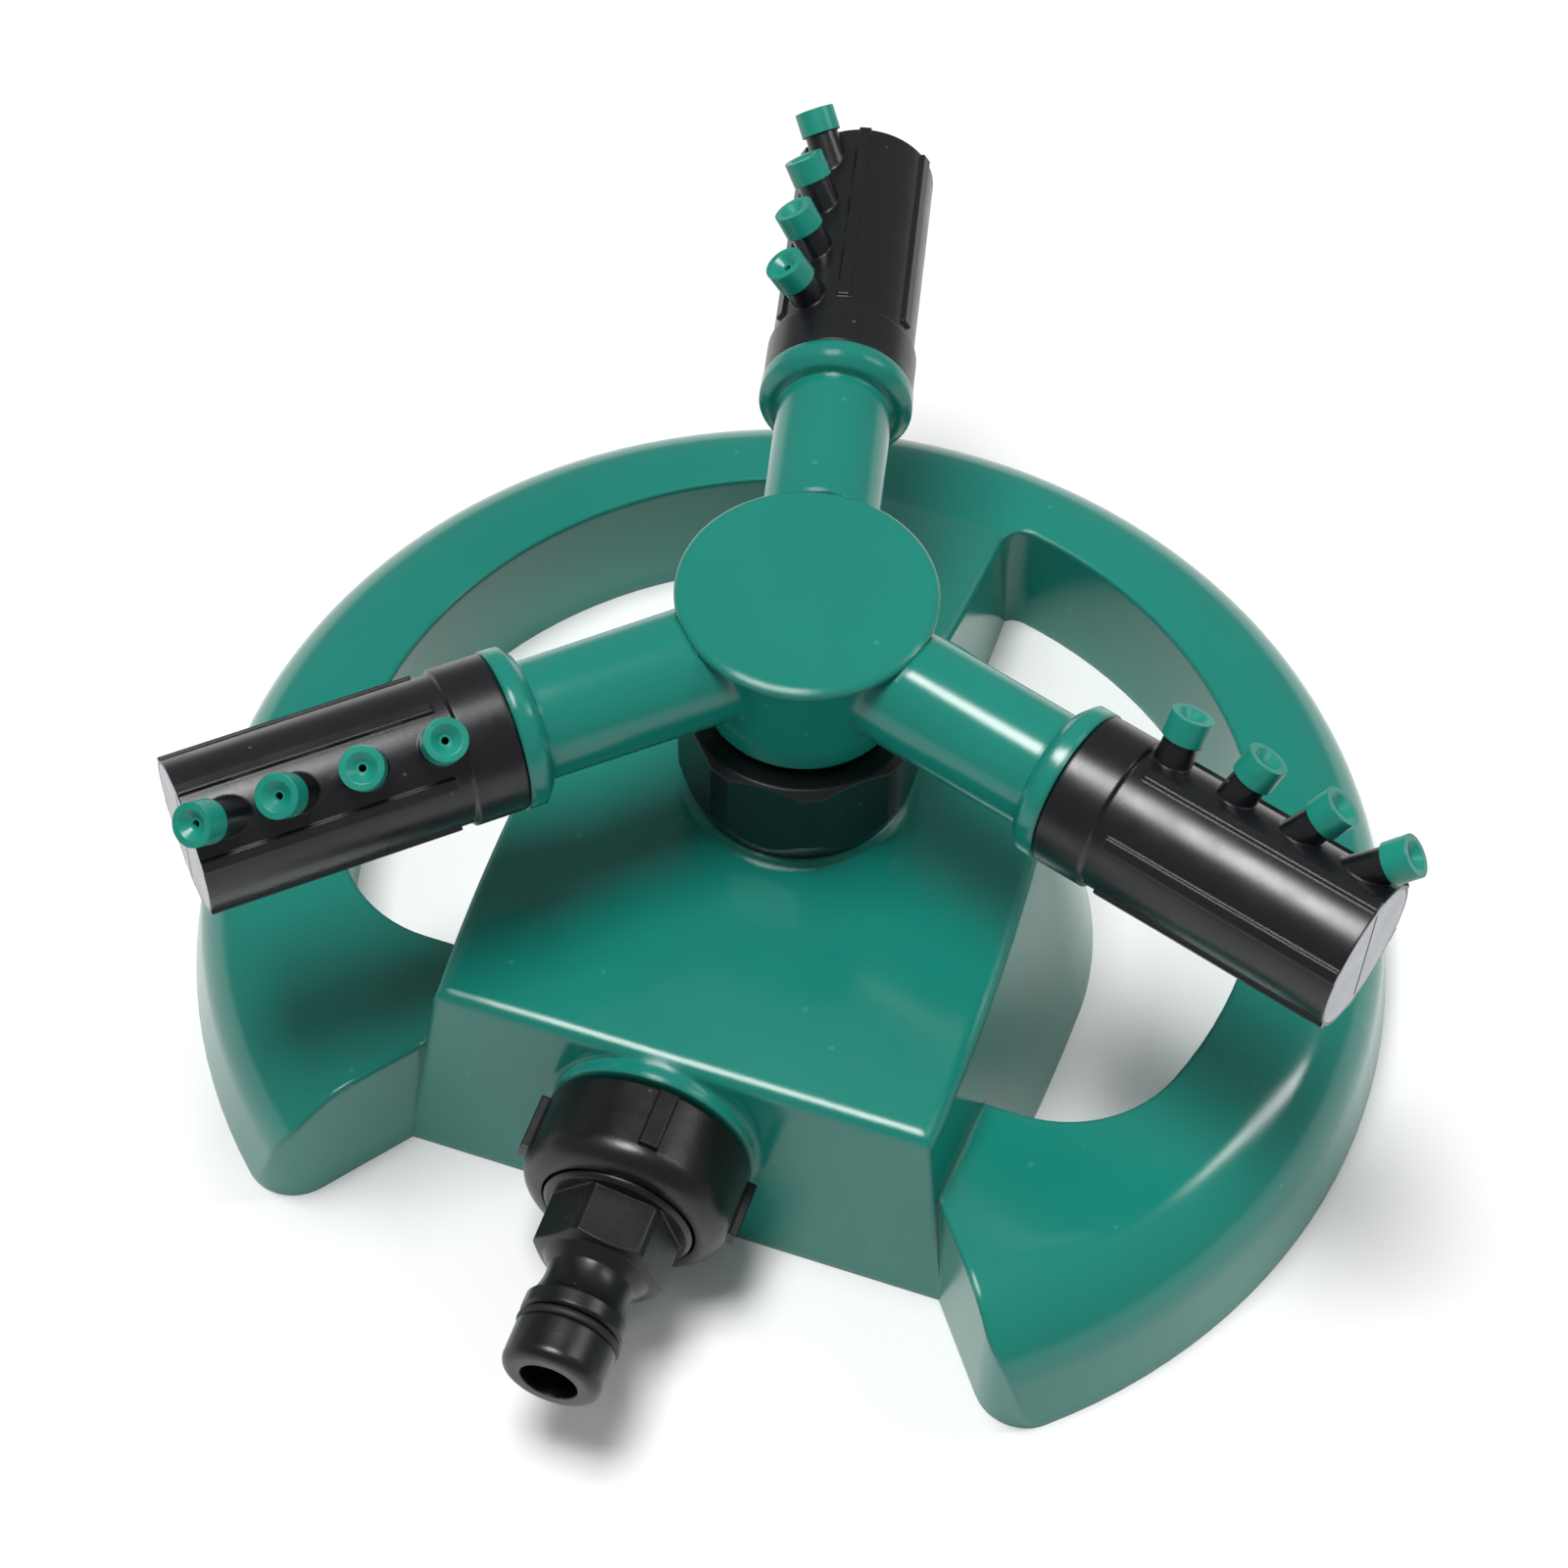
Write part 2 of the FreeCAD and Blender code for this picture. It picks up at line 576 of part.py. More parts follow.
def inlet_spigot():
    """Threaded tube through the front plate, plugged into the elbow."""
    inner = "-(elbow_reach - socket_depth + 0.5)"
    seal = "-(elbow_reach - socket_depth / 2)"
    plug = "(socket_radius - static_gap)"
    floor = "(socket_radius - seal_thick - 2 * static_gap)"
    behind = "-(boss_front - boss_wall)"
    return on_inlet(turned("inlet_spigot", "Y", [
        ("water_bore", inner),
        (plug, inner),
        (plug, f"{seal} + seal_thick / 2 + 0.1"),
        (floor, f"{seal} + seal_thick / 2 + 0.1"),
        (floor, f"{seal} - seal_thick / 2 - 0.1"),
        (plug, f"{seal} - seal_thick / 2 - 0.1"),
        (plug, "-(elbow_reach + 2)"),
        ("thread_radius", "-(elbow_reach + 5)"),
        ("thread_radius", f"{behind} + flange_thick"),
        ("spigot_flange", f"{behind} + flange_thick"),
        ("spigot_flange", behind),
        ("thread_radius", behind),
        ("thread_radius", f"-({SPIGOT_END} - 0.8)"),
        ("thread_radius - 0.8", f"-{SPIGOT_END}"),
        ("water_bore", f"-{SPIGOT_END}"),
    ]))


def spigot_seal():
    return on_inlet(o_ring("spigot_seal", "Y", "socket_radius - seal_thick / 2 - static_gap / 2",
                           "-(elbow_reach - socket_depth / 2)"))


# ---- hose connector ---------------------------------------------------------------------------

def hose_nut():
    """Swivel nut with four grip ribs, open at the front for the nipple."""
    body = new_body("hose_nut")
    bore = "thread_bore"
    pocket = "-(nut_front - nut_lip)"
    revolve(body, "nut_turned", "XY_Plane", "V_Axis", [
        (bore, "-nut_rear"),
        ("nut_radius - 0.6", "-nut_rear"),
        ("nut_radius", "-(nut_rear + 0.6)"),
        ("nut_radius", "-(nut_front - nut_shoulder)"),
        ("nut_radius - nut_shoulder", "-nut_front",
         "nut_radius - nut_shoulder * 0.2929", "-(nut_front - nut_shoulder * 0.2929)"),
        ("nut_hole", "-nut_front"),
        ("nut_hole", pocket),
        (bore, pocket),
    ])
    rib = new_sketch(body, "grip_outline", "XZ_Plane", "nut_rear + 1")
    outline(rib, [
        ("-grip_width / 2", "nut_radius - 1"),
        ("grip_width / 2", "nut_radius - 1"),
        ("grip_width / 2 - 0.3", "nut_radius + grip_rise"),
        ("0.3 - grip_width / 2", "nut_radius + grip_rise"),
    ])
    grip = pad(body, "grip", rib, "grip_length")
    around(body, "grips", [grip], GRIPS, "Y_Axis")
    return turned_in(body)


def turned_in(body):
    """Put a piece of the connector on the inlet axis, turned as its grips stand."""
    place = Vector(value("inlet_side"), 0, value("inlet_height"))
    body.Placement = Placement(place, Rotation(Vector(0, 1, 0), value("nut_turn")))
    return body


def hose_nipple():
    """Quick-connect nipple: flange inside the nut, six-sided neck, latch waist and bead, O-ring seat and nose."""
    body = turned("hose_nipple", "Y", [
        ("tail_bore", f"-{NIPPLE_REAR}"),
        ("tail_collar", f"-{NIPPLE_REAR}"),
        ("tail_collar", "-(nut_front - nut_lip - 0.1)"),
        ("tail_shoulder", "-(nut_front - nut_lip - 0.1)"),
        ("tail_shoulder", "-(nut_front + 0.3)"),
        ("tail_shoulder - 0.6", "-(nut_front + 0.9)"),
        ("tail_neck", "-(nut_front + 0.9)"),
        ("tail_neck", "-(tail_end - 20.3)"),
        ("tail_neck - 2", "-(tail_end - 19.5)"),
        ("tail_waist", "-(tail_end - 17.6)"),
        ("tail_bead - 0.5", "-(tail_end - 12.2)", "tail_waist - 0.1", "-(tail_end - 15.4)"),
        ("tail_bead", "-(tail_end - 11.7)"),
        ("tail_bead", "-(tail_end - 9.4)"),
        ("tail_bead - 0.4", "-(tail_end - 8.9)"),
        ("tail_groove", "-(tail_end - 8.9)"),
        ("tail_groove", "-(tail_end - 8.9 + seal_thick + 0.3)"),
        ("tail_nose", "-(tail_end - 8.9 + seal_thick + 0.3)"),
        ("tail_nose", "-(tail_end - 1.8)"),
        ("tail_nose - 1.8", "-tail_end", "tail_nose - 0.53", "-(tail_end - 0.53)"),
        ("tail_bore", "-tail_end"),
    ])
    side = new_sketch(body, "neck_side", "XZ_Plane", "nut_front + 0.9")
    outline(side, [
        ("-tail_neck", "tail_neck * 0.89"),
        ("tail_neck", "tail_neck * 0.89"),
        ("tail_neck", "tail_neck * 1.5"),
        ("-tail_neck", "tail_neck * 1.5"),
    ])
    flat = pad(body, "neck_flat", side, "tail_end - nut_front - 19", "PartDesign::Pocket", backward=True)
    around(body, "neck_flats", [flat], NECK_SIDES, "Y_Axis")
    return turned_in(body)


def nipple_seal():
    return on_inlet(o_ring("nipple_seal", "Y", "tail_groove + static_gap + seal_thick / 2",
                           "-(tail_end - 8.9 + seal_thick / 2 + 0.15)"))


def hose_washer():
    """Flat washer between the nipple flange and the end of the spigot."""
    return on_inlet(turned("hose_washer", "Y", [
        ("water_bore", f"-{SPIGOT_END}"),
        ("tail_collar - 0.3", f"-{SPIGOT_END}"),
        ("tail_collar - 0.3", f"-{NIPPLE_REAR}"),
        ("water_bore", f"-{NIPPLE_REAR}"),
    ]))


# ---- turning joint ----------------------------------------------------------------------------

def collar_nut():
    """Eight-sided nut that clamps the riser to the roof and holds the spindle down."""
    body = new_body("collar_nut")
    inner = "thread_bore"
    top = "(seat_height + collar_height)"
    revolve(body, "collar_turned", "XZ_Plane", "V_Axis", [
        (inner, "seat_height"),
        ("collar_foot", "seat_height"),
        ("collar_radius", "seat_height + 5.5"),
        ("collar_radius", f"{top} - 1.2"),
        ("collar_radius - 1.2", top),
        ("spindle_radius + pass_gap", top),
        ("spindle_radius + pass_gap", LIP_BOTTOM),
        (inner, LIP_BOTTOM),
    ])
    flats = new_sketch(body, "collar_flats", "XY_Plane", "seat_height - 1")
    outline(flats, [
        ("collar_radius * 0.955", "-collar_radius"),
        ("collar_radius * 2", "-collar_radius"),
        ("collar_radius * 2", "collar_radius"),
        ("collar_radius * 0.955", "collar_radius"),
    ])
    flat = pad(body, "collar_flat", flats, "collar_height + 2", "PartDesign::Pocket", backward=True)
    around(body, "collar_sides", [flat], COLLAR_SIDES)
    return body


def thrust_washers():
    """One washer on the riser and one below the collar's lip."""
    riser = turned("riser_washer", "Z", [
        ("riser_bore", RISER_TOP),
        ("thread_radius - 0.9", RISER_TOP),
        ("thread_radius - 0.9", f"{RISER_TOP} + washer_thick"),
        ("riser_bore", f"{RISER_TOP} + washer_thick"),
    ])
    collar = turned("collar_washer", "Z", [
        ("spindle_radius + pass_gap", f"{WASHER_TOP} - washer_thick"),
        ("spindle_flange", f"{WASHER_TOP} - washer_thick"),
        ("spindle_flange", WASHER_TOP),
        ("spindle_radius + pass_gap", WASHER_TOP),
    ])
    return [riser, collar]


def spindle():
    """Hollow spindle: skirt with a seal in the riser, flange between the washers, top inside the hub."""
    skirt = "(riser_bore - turn_gap)"
    bottom = f"({FLANGE_BOTTOM} - skirt_depth)"
    seal = f"({bottom} + 3)"
    groove = f"({skirt} - seal_thick - static_gap)"
    top = f"({HUB_BOTTOM} + hub_floor)"
    return turned("spindle", "Z", [
        ("spindle_bore", bottom),
        (skirt, bottom),
        (skirt, f"{seal} - seal_thick / 2 - 0.1"),
        (groove, f"{seal} - seal_thick / 2 - 0.1"),
        (groove, f"{seal} + seal_thick / 2 + 0.1"),
        (skirt, f"{seal} + seal_thick / 2 + 0.1"),
        (skirt, f"{FLANGE_BOTTOM}"),
        ("spindle_flange", f"{FLANGE_BOTTOM}"),
        ("spindle_flange", FLANGE_TOP),
        ("spindle_radius", FLANGE_TOP),
        ("spindle_radius", top),
        ("spindle_bore", top),
    ])


def spindle_seal():
    return o_ring("spindle_seal", "Z", "riser_bore - turn_gap - seal_thick / 2",
                  f"{FLANGE_BOTTOM} - skirt_depth + 3")


# ---- turning head -----------------------------------------------------------------------------

def arm_turn(arm):
    return value("arm_angle") + arm * 360 / ARMS


def rotor_hub():
    """Hub with its water chamber and three hollow arms, each with a flange and a snap spigot."""
    body = new_body("rotor_hub")
    ceiling = "(head_top - cap_thick)"
    floor = f"({HUB_BOTTOM} + hub_floor)"
    revolve(body, "hub_turned", "XZ_Plane", "V_Axis", [
        ("0", HUB_BOTTOM),
        ("hub_foot - 1", HUB_BOTTOM),
        ("hub_foot", f"{HUB_BOTTOM} + 1"),
        ("hub_shoulder", ceiling),
        ("0", ceiling),
    ])
    seal = "(arm_end + 4)"
    groove = "(arm_spigot - seal_thick - static_gap)"
    end = "(arm_end + spigot_length)"
    arm = revolve(body, "arm_turned", "XY_Plane", "H_Axis", [
        ("0", "0"),
        ("0", "arm_radius + 0.3"),
        ("arm_end - arm_flange_thick - 0.8", "arm_radius"),
        ("arm_end - arm_flange_thick - 0.8", "arm_flange - 1.6"),
        ("arm_end - arm_flange_thick + 0.6", "arm_flange"),
        ("arm_end", "arm_flange"),
        ("arm_end", "arm_spigot"),
        (f"{seal} - seal_thick / 2 - 0.1", "arm_spigot"),
        (f"{seal} - seal_thick / 2 - 0.1", groove),
        (f"{seal} + seal_thick / 2 + 0.1", groove),
        (f"{seal} + seal_thick / 2 + 0.1", "arm_spigot"),
        (f"{end} - 3", "arm_spigot"),
        (f"{end} - 2.6", "snap_bead"),
        (f"{end} - 1.8", "snap_bead"),
        (end, "arm_spigot - 0.6"),
        (end, "0"),
    ], offset="arm_height")
    around(body, "arms", [arm], ARMS)
    revolve(body, "chamber", "XZ_Plane", "V_Axis", [
        ("0", f"{HUB_BOTTOM} - 1"),
        ("spindle_radius + static_gap", f"{HUB_BOTTOM} - 1"),
        ("spindle_radius + static_gap", floor),
        ("hub_chamber", floor),
        ("hub_chamber", ceiling),
        ("cap_radius + static_gap", ceiling),
        ("cap_radius + static_gap", "head_top"),
        ("0", "head_top"),
    ], "PartDesign::Groove")
    bore = new_sketch(body, "arm_bore_circle", "YZ_Plane")
    circle(bore, "arm_bore", "0", "arm_height")
    drilled = pad(body, "arm_bore_cut", bore, f"{end} + 1", "PartDesign::Pocket", backward=True)
    around(body, "arm_bores", [drilled], ARMS)
    body.Placement = Placement(Vector(0, 0, 0), Rotation(Vector(0, 0, 1), arm_turn(0)))
    return body


def hub_cap():
    """Domed cap with a plug that fits the chamber."""
    plug = "(hub_chamber - static_gap)"
    under = "(head_top - cap_thick)"
    rim = "(cap_radius - 0.5)"
    crown = f"(({rim}^2 + cap_dome^2) / (2 * cap_dome))"
    return turned("hub_cap", "Z", [
        ("0", f"{under} - 1"),
        (f"{plug} - 2", f"{under} - 1"),
        (f"{plug} - 2", f"{under} - cap_plug"),
        (plug, f"{under} - cap_plug"),
        (plug, under),
        (rim, under),
        ("cap_radius", f"{under} + 0.5"),
        ("cap_radius", "head_top - 0.5"),
        (rim, "head_top"),
        ("0", "head_top + cap_dome", f"{rim} / 2", f"head_top + cap_dome - {crown} + sqrt({crown}^2 - {rim}^2 / 4)"),
    ])


def arm_seals():
    made = []
    for arm in range(ARMS):
        ring = o_ring(f"arm_seal_{arm + 1}", "X", "arm_spigot - seal_thick / 2 + static_gap / 2", "arm_end + 4")
        ring.Placement = Placement(Vector(0, 0, value("arm_height")), Rotation(Vector(0, 0, 1), arm_turn(arm)))
        made.append(ring)
    return made


# ---- nozzle tubes -----------------------------------------------------------------------------

def nozzle_frame(nozzle, lift):
    """Place and direction of one nozzle in the arm's own frame, lift millimetres above the tube."""
    rise = math.radians(value("nozzle_rise"))
    lean = math.radians(value("nozzle_lean") * nozzle)
    out = Vector(0, math.cos(rise), math.sin(rise))
    ahead = Vector(1, 0, 0)
    aim = out * math.cos(lean) + ahead * math.sin(lean)
    root = ahead * value(f"arm_end + tube_gap + nozzle_first + nozzle_pitch * {nozzle}") + out * value("tube_radius")
    return Placement(root + aim * lift, Rotation(Vector(0, 0, 1), aim))


def nozzle_tube(arm):
    """Tube that turns on the arm's spigot, with rails, four leaning stubs and their water holes."""
    name = f"nozzle_tube_{arm + 1}"
    body = new_body(name + "_body")
    start = "(arm_end + tube_gap)"
    bore = "(arm_spigot + turn_gap)"
    throat = "(arm_end + spigot_length - 3.1)"
    seat = "(tube_end - end_disc_thick)"
    revolve(body, name + "_turned", "XY_Plane", "H_Axis", [
        (start, bore),
        (start, "band_radius"),
        (f"{start} + band_length", "band_radius"),
        (f"{start} + band_length + 0.5", "tube_radius"),
        ("tube_end", "tube_radius"),
        ("tube_end", "end_disc_radius + static_gap"),
        (seat, "end_disc_radius + static_gap"),
        (seat, "tube_bore"),
        (throat, "tube_bore"),
        (throat, bore),
    ])
    rail = new_sketch(body, name + "_rail_outline", "YZ_Plane", f"{start} + band_length + rail_start")
    outline(rail, [
        ("-rail_width / 2", "tube_radius - 0.3"),
        ("rail_width / 2", "tube_radius - 0.3"),
        ("rail_width / 2 - 0.3", "tube_radius + rail_rise"),
        ("0.3 - rail_width / 2", "tube_radius + rail_rise"),
    ])
    rib = pad(body, name + "_rail", rail, f"tube_end - ({start} + band_length + rail_start)")
    around(body, name + "_rails", [rib], RAILS, "X_Axis")
    half_step = 180 / RAILS
    body.Placement = Placement(Vector(0, 0, 0),
                               Rotation(Vector(1, 0, 0), value("nozzle_rise") - 90 + half_step))

    stubs, bores = [], []
    sunk = value("tube_radius - tube_bore") / 2
    for nozzle in range(NOZZLES):
        stub = doc.addObject("Part::Cone", f"{name}_stub_{nozzle + 1}")
        bind(stub, "Radius1", "stub_radius")
        bind(stub, "Radius2", "stub_tip")
        bind(stub, "Height", "stub_length + (tube_radius - tube_bore) * 1.5")
        stub.Placement = nozzle_frame(nozzle, -sunk * 3)
        stubs.append(stub)
        bores.append(rod(f"{name}_bore_{nozzle + 1}", "stub_tip / 2", "stub_length + tube_radius",
                         nozzle_frame(nozzle, -value("tube_radius") * 0.8)))
    ahead = Rotation(Vector(0, 1, 0), 90)
    sleeve = rod(f"{name}_sleeve", bore, f"{throat} - {start}", Placement(Vector(value(start), 0, 0), ahead))
    chamber = rod(f"{name}_chamber", "tube_bore", f"{seat} - {throat}", Placement(Vector(value(throat), 0, 0), ahead))
    recess = rod(f"{name}_recess", "end_disc_radius + static_gap", "end_disc_thick * 2",
                 Placement(Vector(value(seat), 0, 0), ahead))
    tube = cut(name, joined(name + "_solid", [body] + stubs), bores + [sleeve, chamber, recess])
    tube.Placement = arm_place(arm)
    return tube


def arm_place(arm):
    return Placement(Vector(0, 0, value("arm_height")), Rotation(Vector(0, 0, 1), arm_turn(arm)))


def end_disc(arm):
    """Disc that closes the tube, with a shallow slot across its face."""
    name = f"end_disc_{arm + 1}"
    body = new_body(name)
    seat = "(tube_end - end_disc_thick)"
    revolve(body, name + "_turned", "XY_Plane", "H_Axis", [
        (seat, "0"), (seat, "end_disc_radius"), ("tube_end", "end_disc_radius"), ("tube_end", "0"),
    ])
    slot = new_sketch(body, name + "_slot_outline", "YZ_Plane", "tube_end - 0.5")
    outline(slot, [
        ("-disc_slot / 2", "-end_disc_radius * 0.92"),
        ("disc_slot / 2", "-end_disc_radius * 0.92"),
        ("disc_slot / 2", "end_disc_radius * 0.92"),
        ("-disc_slot / 2", "end_disc_radius * 0.92"),
    ])
    pad(body, name + "_slot", slot, "1", "PartDesign::Pocket", backward=True)
    body.Placement = arm_place(arm)
    return body


def nozzle_tip(arm, nozzle):
    """Cap on a stub, with a dished face around its jet hole."""
    name = f"nozzle_tip_{arm + 1}_{nozzle + 1}"
    body = turned(name, "Z", [
        ("stub_tip + 0.3", "0"),
        ("tip_radius", "0"),
        ("tip_radius", "tip_length"),
        ("tip_radius - 1", "tip_length"),
        ("jet_radius + 0.35", "tip_length - 1.1"),
        ("jet_radius", "tip_length - 1.1"),
        ("jet_radius", "tip_grip"),
        ("stub_tip + 0.1", "tip_grip"),
    ])
    body.Placement = arm_place(arm).multiply(nozzle_frame(nozzle, value("stub_length - tip_grip + static_gap")))
    return body


# ---- build, check and write -------------------------------------------------------------------

def build():
    fill_sheet()
    nodes = [base_shell(), water_elbow(), riser_gasket(), inlet_spigot(), spigot_seal(),
             hose_nut(), hose_nipple(), nipple_seal(), hose_washer(),
             collar_nut(), *thrust_washers(), spindle(), spindle_seal(),
             rotor_hub(), hub_cap(), *arm_seals()]
    for arm in range(ARMS):
        nodes += [nozzle_tube(arm), end_disc(arm)]
        nodes += [nozzle_tip(arm, nozzle) for nozzle in range(NOZZLES)]
    doc.recompute()
    return nodes


def check(nodes):
    for item in doc.Objects:
        if "Invalid" in item.State or "Error" in item.State:
            raise RuntimeError(f"{item.Label} failed: {item.State}")
    for node in nodes:
        if node.Shape.isNull() or not node.Shape.isValid():
            raise RuntimeError(f"{node.Label} has no valid shape")


def write(nodes):
    os.makedirs("parts", exist_ok=True)
    for node in nodes:
        node.Shape.exportStep(f"parts/{node.Label}.step")
        box = node.Shape.BoundBox
        print(f"{node.Label}: {len(node.Shape.Solids)} solid, {node.Shape.Volume:.0f} mm3,"
              f" z {box.ZMin:.1f} to {box.ZMax:.1f}")


parts = build()
check(parts)
write(parts)
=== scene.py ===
import json
import math

import bmesh
import bpy
from mathutils import Matrix, Vector

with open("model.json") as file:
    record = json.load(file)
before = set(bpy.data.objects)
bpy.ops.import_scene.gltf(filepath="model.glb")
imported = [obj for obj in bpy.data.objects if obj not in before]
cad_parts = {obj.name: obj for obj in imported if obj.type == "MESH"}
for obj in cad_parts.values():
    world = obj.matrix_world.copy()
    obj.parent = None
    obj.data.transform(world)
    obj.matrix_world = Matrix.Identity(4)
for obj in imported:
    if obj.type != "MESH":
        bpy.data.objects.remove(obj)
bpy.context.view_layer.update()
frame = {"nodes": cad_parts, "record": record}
scene = bpy.context.scene
mm = 0.001
perMetre = 1000     # mm in a metre
print("frame loaded:", len(frame["nodes"]), "nodes")

# the camera comes first, so that every later stage can be looked at from the same place
cameraPlan = {
    "azimuth": 16.938,      # degrees round the head's axis
    "elevation": 53.688,    # degrees above the ground
    "distance": 590.44 * mm,
    "lens": 77.856,         # mm
    "sensor": 36,           # mm
    "target": (-10.642 * mm, 26.913 * mm, 0),
    "roll": 2.203,          # degrees
    "clip": (0.01, 20),     # metres, near and far
}


def placeCamera(plan):
    azimuth, elevation, roll = (math.radians(plan[k]) for k in ("azimuth", "elevation", "roll"))
    level = math.cos(elevation)
    back = Vector((math.sin(azimuth) * level, -math.cos(azimuth) * level, math.sin(elevation)))
    right = Vector((math.cos(azimuth), math.sin(azimuth), 0))
    up = back.cross(right)
    rolledRight = right * math.cos(roll) + up * math.sin(roll)
    rolledUp = up * math.cos(roll) - right * math.sin(roll)
    camera = bpy.data.objects.new("camera", bpy.data.cameras.new("camera"))
    camera.data.lens = plan["lens"]
    camera.data.sensor_width = plan["sensor"]
    camera.data.clip_start, camera.data.clip_end = plan["clip"]
    turn = Matrix((rolledRight, rolledUp, back)).transposed().to_4x4()
    camera.matrix_world = Matrix.Translation(Vector(plan["target"]) + back * plan["distance"]) @ turn
    scene.collection.objects.link(camera)
    scene.camera = camera


placeCamera(cameraPlan)
print("camera placed")


def fromHex(code):
    # sRGB hex to the linear colour that Blender wants
    parts = [int(code[i:i + 2], 16) / 255 for i in (1, 3, 5)]
    return tuple(p / 12.92 if p <= 0.04045 else ((p + 0.055) / 1.055) ** 2.4 for p in parts) + (1,)


def addNode(tree, kind, inputs=None, **settings):
    # one node with its settings; an input is a value, or the output socket that feeds it
    node = tree.nodes.new(kind)
    for key, setting in settings.items():
        setattr(node, key, setting)
    for key, feed in (inputs or {}).items():
        if isinstance(feed, bpy.types.NodeSocket):
            tree.links.new(feed, node.inputs[key])
        else:
            node.inputs[key].default_value = feed
    return node


# what every moulded plastic here has in common; each material's own plan gives the rest
mouldedSkin = {
    "cloudRamp": (0.35, 0.65),      # where the shade ends and the full colour begins, in the noise
    "cloudDetail": 3, "cloudRoughness": 0.55,
    "patchRange": (0.3, 0.7),       # the part of the noise that runs from the glossiest to the dullest skin
    "patchDetail": 5, "patchRoughness": 0.6,
    "speckEdge": (0.035, 0.06),     # a dust speck's solid middle and its rim, in cells
    "waveDetail": 1, "grainDetail": 2,
    "edgeSamples": 6,
}


def mouldedPlastic(name, plan):
    # injection-moulded plastic: an even colour with slight flow clouds, sparse handling dust, and a polished
    # or satin skin that is never quite even. Its edges look rounded, long shallow sink waves bend what it
    # mirrors, and a fine orange peel covers it
    skin = mouldedSkin
    material = bpy.data.materials.new(name)
    material.use_nodes = True
    tree = material.node_tree
    shader = tree.nodes["Principled BSDF"]
    where = addNode(tree, "ShaderNodeTexCoord").outputs["Object"]
    clouds = addNode(tree, "ShaderNodeTexNoise", {
        "Vector": where, "Scale": perMetre / plan["cloudMm"],
        "Detail": skin["cloudDetail"], "Roughness": skin["cloudRoughness"]})
    colour = addNode(tree, "ShaderNodeValToRGB", {"Fac": clouds.outputs["Fac"]})
    stops = zip(colour.color_ramp.elements, skin["cloudRamp"], (plan["shade"], plan["colour"]))
    for stop, place, code in stops:
        stop.position, stop.color = place, fromHex(code)
    specks = addNode(tree, "ShaderNodeTexVoronoi", {"Vector": where, "Scale": perMetre / plan["dustMm"]})
    dust = addNode(tree, "ShaderNodeMapRange", {
        "Value": specks.outputs["Distance"],
        "From Min": skin["speckEdge"][0], "From Max": skin["speckEdge"][1],
        "To Min": plan["dust"], "To Max": 0})
    dusted = addNode(tree, "ShaderNodeMix", {
        "Factor": dust.outputs["Result"], "A": colour.outputs["Color"], "B": fromHex(plan["dustColour"])},
        data_type="RGBA")
    tree.links.new(dusted.outputs["Result"], shader.inputs["Base Color"])
    handling = addNode(tree, "ShaderNodeTexNoise", {
        "Vector": where, "Scale": perMetre / plan["patchMm"],
        "Detail": skin["patchDetail"], "Roughness": skin["patchRoughness"]})
    gloss = addNode(tree, "ShaderNodeMapRange", {
        "Value": handling.outputs["Fac"],
        "From Min": skin["patchRange"][0], "From Max": skin["patchRange"][1],
        "To Min": plan["roughness"][0], "To Max": plan["roughness"][1]})
    tree.links.new(gloss.outputs["Result"], shader.inputs["Roughness"])
    rounded = addNode(tree, "ShaderNodeBevel", {"Radius": plan["edgeMm"] * mm}, samples=skin["edgeSamples"])
    waves = addNode(tree, "ShaderNodeTexNoise", {
        "Vector": where, "Scale": perMetre / plan["waveMm"], "Detail": skin["waveDetail"]})
    sinks = addNode(tree, "ShaderNodeBump", {
        "Height": waves.outputs["Fac"], "Distance": plan["waveDepthMm"] * mm, "Strength": 1.0,
        "Normal": rounded.outputs["Normal"]})
    grain = addNode(tree, "ShaderNodeTexNoise", {
        "Vector": where, "Scale": perMetre / plan["grainMm"], "Detail": skin["grainDetail"]})
    peel = addNode(tree, "ShaderNodeBump", {
        "Height": grain.outputs["Fac"], "Distance": plan["grainDepthMm"] * mm, "Strength": 1.0,
        "Normal": sinks.outputs["Normal"]})
    tree.links.new(peel.outputs["Normal"], shader.inputs["Normal"])
    shader.inputs["IOR"].default_value = plan["ior"]
    return material


# polished ABS: a full teal green, mirror-like on flat faces, with waves that break up long reflections
greenAbs = mouldedPlastic("polishedGreenAbs", {
    "edgeMm": 1.6, "colour": "#177f71", "shade": "#14776a", "cloudMm": 70,
    "roughness": (0.12, 0.2), "patchMm": 22,
    "waveMm": 30, "waveDepthMm": 0.16, "grainMm": 1.4, "grainDepthMm": 0.003, "ior": 1.5,
    "dustMm": 9, "dust": 0.25, "dustColour": "#5fa596"})
# polished ABS in black: lights up only where a lamp or the pale floor is mirrored
blackAbs = mouldedPlastic("polishedBlackAbs", {
    "edgeMm": 0.5, "colour": "#131417", "shade": "#0f1013", "cloudMm": 30,
    "roughness": (0.24, 0.34), "patchMm": 7,
    "waveMm": 12, "waveDepthMm": 0.09, "grainMm": 0.9, "grainDepthMm": 0.006, "ior": 1.5,
    "dustMm": 6, "dust": 0.35, "dustColour": "#77777b"})
# polypropylene from a spark-eroded tool: satin black with a fine tooth
blackPolypropylene = mouldedPlastic("satinBlackPolypropylene", {
    "edgeMm": 0.5, "colour": "#0f0f11", "shade": "#0b0b0d", "cloudMm": 18,
    "roughness": (0.27, 0.4), "patchMm": 6,
    "waveMm": 9, "waveDepthMm": 0.1, "grainMm": 0.6, "grainDepthMm": 0.014, "ior": 1.49,
    "dustMm": 5, "dust": 0.4, "dustColour": "#6d6d70"})
